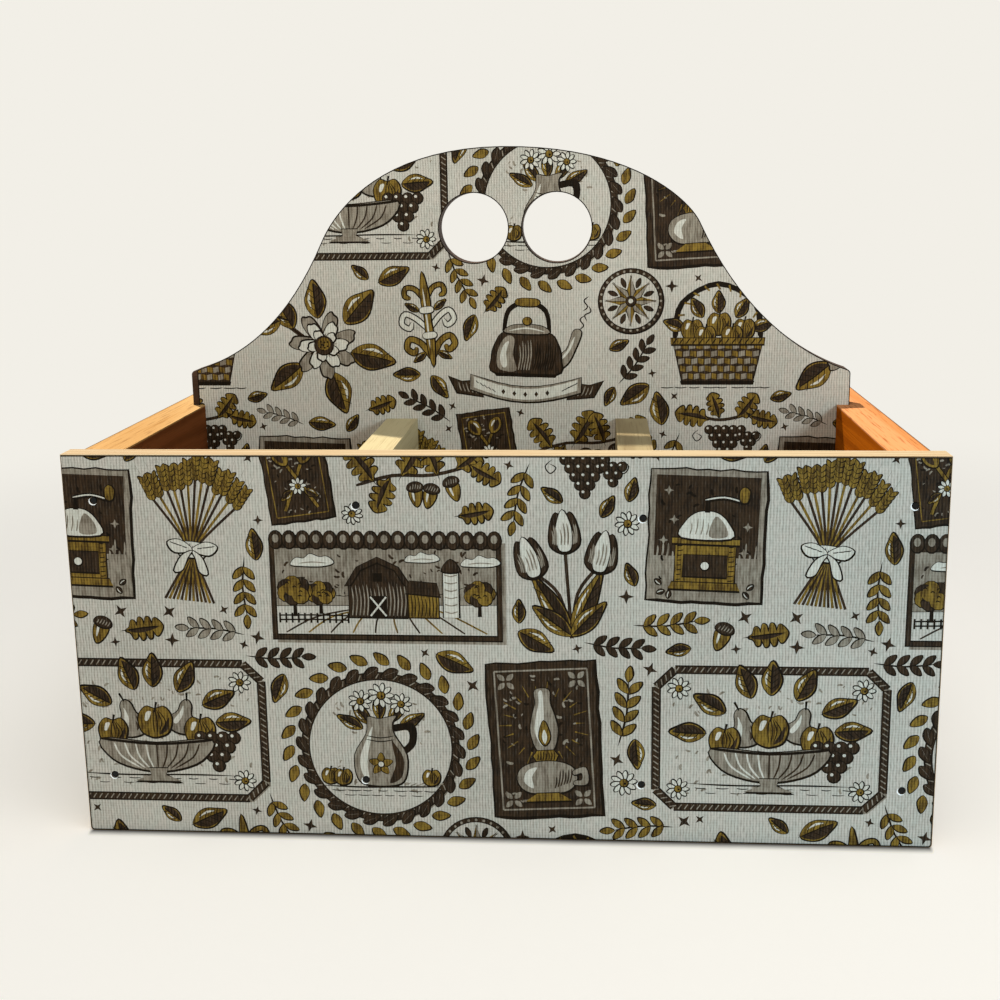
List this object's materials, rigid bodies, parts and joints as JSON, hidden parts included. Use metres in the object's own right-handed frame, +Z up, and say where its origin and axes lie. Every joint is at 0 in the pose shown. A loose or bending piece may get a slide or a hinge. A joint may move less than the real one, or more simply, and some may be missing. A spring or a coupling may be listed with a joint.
{
  "type": "wooden caddy",
  "caption": "Open wooden carrying caddy with bays either side of a tall shaped handle board with finger holes, covered outside in printed woven vinyl.",
  "frame": {"origin": "middle of the underside, on the surface that the caddy stands on", "axes": "+X along the front panel to the right as seen from the front, +Y from the front panel to the back panel, +Z up"},
  "size_m": [0.33, 0.2208, 0.2686],
  "materials": {
    "side_wood": "honey-toned pine, oiled, grain along the length",
    "panel_wood": "bare pale plywood, its inner face stained brown",
    "board_wood": "plywood with its sawn edge and finger holes painted dark brown",
    "floor_wood": "plywood, stained brown above and bare below",
    "divider_wood": "pale planed softwood",
    "covering": "vinyl embossed with a fine weave, pale blue-grey, printed in browns, taupe, olive gold and cream",
    "nail_steel": "dark steel panel nails"
  },
  "bodies": {
    "root": {"front_panel": "panel_wood", "back_panel": "panel_wood", "front_covering": "covering", "back_covering": "covering", "left_side": "side_wood", "right_side": "side_wood", "left_covering": "covering", "right_covering": "covering", "handle_board": "board_wood", "handle_covering_front": "covering", "handle_covering_back": "covering", "floor_board": "floor_wood", "front_left_divider": "divider_wood", "front_right_divider": "divider_wood", "back_left_divider": "divider_wood", "back_right_divider": "divider_wood", "front_nail_left_side_low": "nail_steel", "front_nail_left_side_high": "nail_steel", "front_nail_left_divider_low": "nail_steel", "front_nail_left_divider_high": "nail_steel", "front_nail_right_divider_low": "nail_steel", "front_nail_right_divider_high": "nail_steel", "front_nail_right_side_low": "nail_steel", "front_nail_right_side_high": "nail_steel", "back_nail_left_side_low": "nail_steel", "back_nail_left_side_high": "nail_steel", "back_nail_left_divider_low": "nail_steel", "back_nail_left_divider_high": "nail_steel", "back_nail_right_divider_low": "nail_steel", "back_nail_right_divider_high": "nail_steel", "back_nail_right_side_low": "nail_steel", "back_nail_right_side_high": "nail_steel", "left_floor_nail_1": "nail_steel", "left_floor_nail_2": "nail_steel", "left_floor_nail_3": "nail_steel", "left_board_nail_1": "nail_steel", "left_board_nail_2": "nail_steel", "right_floor_nail_1": "nail_steel", "right_floor_nail_2": "nail_steel", "right_floor_nail_3": "nail_steel", "right_board_nail_1": "nail_steel", "right_board_nail_2": "nail_steel"}
  },
  "joints": []
}
